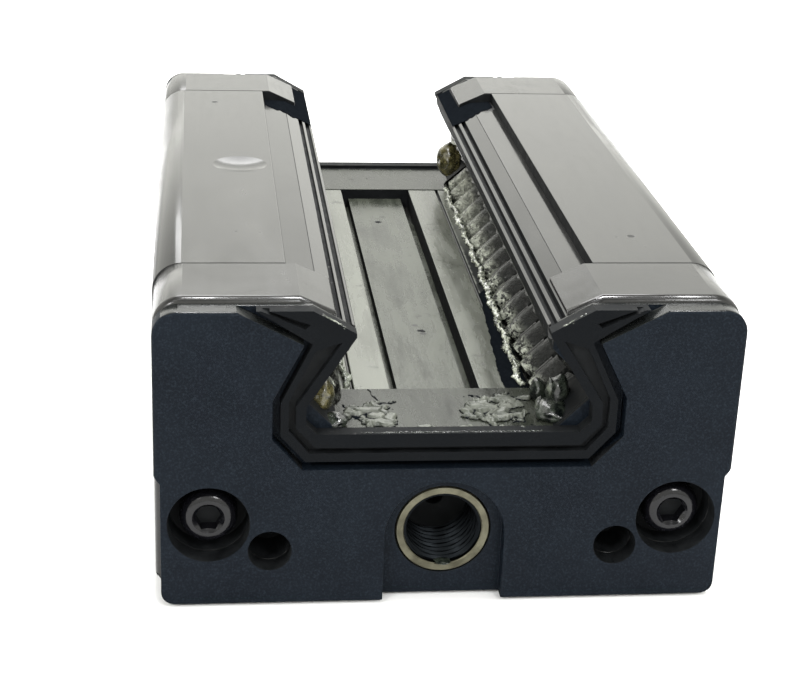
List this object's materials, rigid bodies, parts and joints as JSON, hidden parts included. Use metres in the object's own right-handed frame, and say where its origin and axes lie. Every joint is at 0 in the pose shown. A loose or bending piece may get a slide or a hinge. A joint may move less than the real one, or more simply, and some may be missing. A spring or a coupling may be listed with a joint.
{
  "type": "linear guide carriage",
  "caption": "Narrow roller linear guide carriage with four recirculating roller rows, screwed end caps, seals and end lubrication ports, open channel up.",
  "frame": {"origin": "centre of the flat mounting face of the carriage, on the floor plane", "axes": "+Y along the travel, +X across the carriage, +Z out of the mounting face towards the open rail channel"},
  "size_m": [0.07, 0.111, 0.039],
  "materials": {
    "black_steel": "black coated steel, oiled",
    "black_nylon": "moulded black plastic, oiled",
    "coated_plate": "satin blue-black sheet",
    "seal_rubber": "oiled rubber",
    "brass": "machined",
    "screw_steel": "black oxide",
    "roller_steel": "ground bearing steel",
    "spacer_plastic": "moulded",
    "guide_plastic": "moulded",
    "strip_plastic": "moulded black plastic, oiled"
  },
  "bodies": {
    "carriage": {"carriage_body": "black_steel", "cover_plate_back": "coated_plate", "cover_plate_front": "coated_plate", "end_cap_back": "black_nylon", "end_cap_front": "black_nylon", "end_screws_back": "screw_steel", "end_screws_front": "screw_steel", "end_seal_back": "seal_rubber", "end_seal_front": "seal_rubber", "floor_strip_left": "strip_plastic", "floor_strip_right": "strip_plastic", "leg_strip_left": "strip_plastic", "leg_strip_right": "strip_plastic", "lube_insert_back": "brass", "lube_insert_front": "brass", "return_tube_left_high": "guide_plastic", "return_tube_left_low": "guide_plastic", "return_tube_right_high": "guide_plastic", "return_tube_right_low": "guide_plastic", "roller_retainer_left": "strip_plastic", "roller_retainer_right": "strip_plastic", "side_seal_left": "seal_rubber", "side_seal_right": "seal_rubber", "turn_guide_left_back": "guide_plastic", "turn_guide_left_front": "guide_plastic", "turn_guide_right_back": "guide_plastic", "turn_guide_right_front": "guide_plastic"},
    "row_right_low_loaded": {"rollers_right_low_loaded": "roller_steel", "spacers_right_low_loaded": "spacer_plastic"},
    "row_right_low_return": {"rollers_right_low_return": "roller_steel", "spacers_right_low_return": "spacer_plastic"},
    "row_right_low_front": {"rollers_right_low_front": "roller_steel", "spacers_right_low_front": "spacer_plastic"},
    "row_right_low_back": {"rollers_right_low_back": "roller_steel", "spacers_right_low_back": "spacer_plastic"},
    "row_right_high_loaded": {"rollers_right_high_loaded": "roller_steel", "spacers_right_high_loaded": "spacer_plastic"},
    "row_right_high_return": {"rollers_right_high_return": "roller_steel", "spacers_right_high_return": "spacer_plastic"},
    "row_right_high_front": {"rollers_right_high_front": "roller_steel", "spacers_right_high_front": "spacer_plastic"},
    "row_right_high_back": {"rollers_right_high_back": "roller_steel", "spacers_right_high_back": "spacer_plastic"},
    "row_left_low_loaded": {"rollers_left_low_loaded": "roller_steel", "spacers_left_low_loaded": "spacer_plastic"},
    "row_left_low_return": {"rollers_left_low_return": "roller_steel", "spacers_left_low_return": "spacer_plastic"},
    "row_left_low_front": {"rollers_left_low_front": "roller_steel", "spacers_left_low_front": "spacer_plastic"},
    "row_left_low_back": {"rollers_left_low_back": "roller_steel", "spacers_left_low_back": "spacer_plastic"},
    "row_left_high_loaded": {"rollers_left_high_loaded": "roller_steel", "spacers_left_high_loaded": "spacer_plastic"},
    "row_left_high_return": {"rollers_left_high_return": "roller_steel", "spacers_left_high_return": "spacer_plastic"},
    "row_left_high_front": {"rollers_left_high_front": "roller_steel", "spacers_left_high_front": "spacer_plastic"},
    "row_left_high_back": {"rollers_left_high_back": "roller_steel", "spacers_left_high_back": "spacer_plastic"}
  },
  "joints": [
    {"name": "right_low_loaded_run", "type": "slide", "parent": "carriage", "child": "row_right_low_loaded", "axis": [0, 1, 0], "range_m": [-0.003, 0.003]},
    {"name": "right_low_return_run", "type": "slide", "parent": "carriage", "child": "row_right_low_return", "axis": [0, 1, 0], "range_m": [-0.003, 0.003]},
    {"name": "right_low_front_turn", "type": "hinge", "parent": "carriage", "child": "row_right_low_front", "pos_m": [0.02118, -0.042, 0.02255], "axis": [0, 0, 1], "range_deg": [-30.1, 30.1]},
    {"name": "right_low_back_turn", "type": "hinge", "parent": "carriage", "child": "row_right_low_back", "pos_m": [0.02118, 0.042, 0.02255], "axis": [0, 0, 1], "range_deg": [-30.1, 30.1]},
    {"name": "right_high_loaded_run", "type": "slide", "parent": "carriage", "child": "row_right_high_loaded", "axis": [0, 1, 0], "range_m": [-0.003, 0.003]},
    {"name": "right_high_return_run", "type": "slide", "parent": "carriage", "child": "row_right_high_return", "axis": [0, 1, 0], "range_m": [-0.003, 0.003]},
    {"name": "right_high_front_turn", "type": "hinge", "parent": "carriage", "child": "row_right_high_front", "pos_m": [0.02118, -0.042, 0.03145], "axis": [0, 0, 1], "range_deg": [-30.1, 30.1]},
    {"name": "right_high_back_turn", "type": "hinge", "parent": "carriage", "child": "row_right_high_back", "pos_m": [0.02118, 0.042, 0.03145], "axis": [0, 0, 1], "range_deg": [-30.1, 30.1]},
    {"name": "left_low_loaded_run", "type": "slide", "parent": "carriage", "child": "row_left_low_loaded", "axis": [0, 1, 0], "range_m": [-0.003, 0.003]},
    {"name": "left_low_return_run", "type": "slide", "parent": "carriage", "child": "row_left_low_return", "axis": [0, 1, 0], "range_m": [-0.003, 0.003]},
    {"name": "left_low_front_turn", "type": "hinge", "parent": "carriage", "child": "row_left_low_front", "pos_m": [-0.02118, -0.042, 0.02255], "axis": [0, 0, 1], "range_deg": [-30.1, 30.1]},
    {"name": "left_low_back_turn", "type": "hinge", "parent": "carriage", "child": "row_left_low_back", "pos_m": [-0.02118, 0.042, 0.02255], "axis": [0, 0, 1], "range_deg": [-30.1, 30.1]},
    {"name": "left_high_loaded_run", "type": "slide", "parent": "carriage", "child": "row_left_high_loaded", "axis": [0, 1, 0], "range_m": [-0.003, 0.003]},
    {"name": "left_high_return_run", "type": "slide", "parent": "carriage", "child": "row_left_high_return", "axis": [0, 1, 0], "range_m": [-0.003, 0.003]},
    {"name": "left_high_front_turn", "type": "hinge", "parent": "carriage", "child": "row_left_high_front", "pos_m": [-0.02118, -0.042, 0.03145], "axis": [0, 0, 1], "range_deg": [-30.1, 30.1]},
    {"name": "left_high_back_turn", "type": "hinge", "parent": "carriage", "child": "row_left_high_back", "pos_m": [-0.02118, 0.042, 0.03145], "axis": [0, 0, 1], "range_deg": [-30.1, 30.1]}
  ],
  "couplings": [
    {"joint": "right_low_return_run", "follows": "right_low_loaded_run", "ratio": -1},
    {"joint": "right_low_front_turn", "follows": "right_low_loaded_run", "rad_per_m": -174.53},
    {"joint": "right_low_back_turn", "follows": "right_low_loaded_run", "rad_per_m": -174.53},
    {"joint": "right_high_return_run", "follows": "right_high_loaded_run", "ratio": -1},
    {"joint": "right_high_front_turn", "follows": "right_high_loaded_run", "rad_per_m": -174.53},
    {"joint": "right_high_back_turn", "follows": "right_high_loaded_run", "rad_per_m": -174.53},
    {"joint": "left_low_return_run", "follows": "left_low_loaded_run", "ratio": -1},
    {"joint": "left_low_front_turn", "follows": "left_low_loaded_run", "rad_per_m": 174.53},
    {"joint": "left_low_back_turn", "follows": "left_low_loaded_run", "rad_per_m": 174.53},
    {"joint": "left_high_return_run", "follows": "left_high_loaded_run", "ratio": -1},
    {"joint": "left_high_front_turn", "follows": "left_high_loaded_run", "rad_per_m": 174.53},
    {"joint": "left_high_back_turn", "follows": "left_high_loaded_run", "rad_per_m": 174.53}
  ]
}
